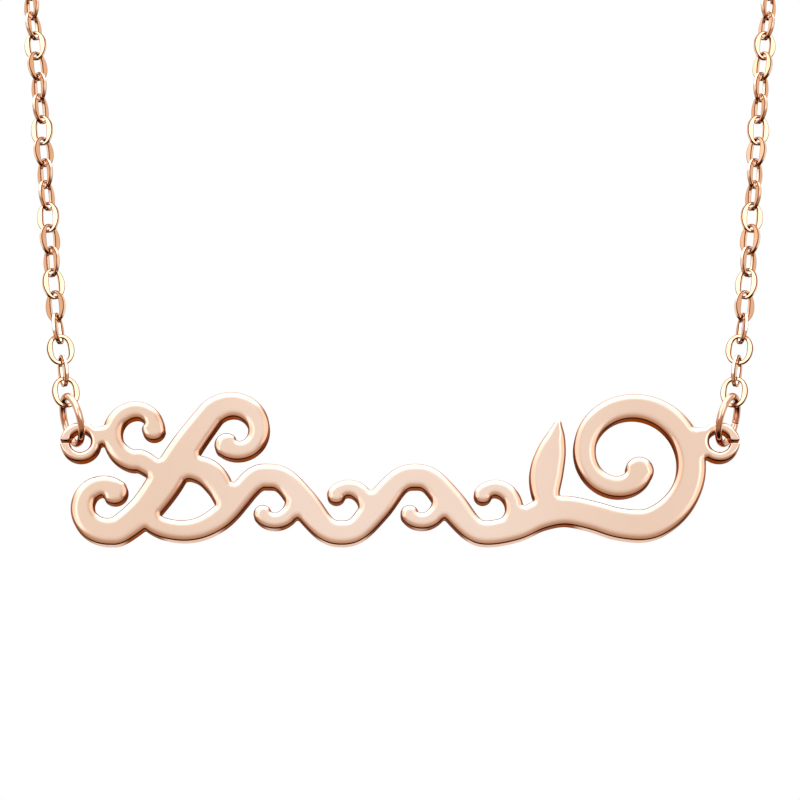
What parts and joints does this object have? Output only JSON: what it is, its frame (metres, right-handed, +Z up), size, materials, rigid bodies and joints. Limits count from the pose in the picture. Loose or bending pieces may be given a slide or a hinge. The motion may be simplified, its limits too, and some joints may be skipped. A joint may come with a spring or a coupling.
{
  "type": "nameplate necklace",
  "caption": "Worn necklace: a flat pierced scrollwork plate hung by an eye at each end from jump rings on a fine flat cable chain, closed by a ring clasp at the nape.",
  "frame": {"origin": "the back of the neck, in the middle of the inner side of the clasp, where the necklace hangs on the nape", "axes": "+Z up, -Y to the front where the plate hangs upright, +X to the right as seen by someone facing the plate"},
  "size_m": [0.1076, 0.0968, 0.0837],
  "materials": {
    "satin_rose_gold": "rose-gold plate, fine satin face",
    "polished_rose_gold": "rose-gold plate, polished"
  },
  "bodies": {
    "chain_loop": {"left_chain": "polished_rose_gold", "right_chain": "polished_rose_gold", "clasp": "polished_rose_gold", "clasp_end_ring": "polished_rose_gold"},
    "plate_and_rings": {"nameplate": "satin_rose_gold", "left_jump_ring": "polished_rose_gold", "right_jump_ring": "polished_rose_gold"}
  },
  "joints": [
    {"name": "nameplate_swing", "type": "hinge", "parent": "chain_loop", "child": "plate_and_rings", "pos_m": [0, -0.093, -0.07142], "axis": [1, 0, 0], "range_deg": [-45, 45]}
  ]
}
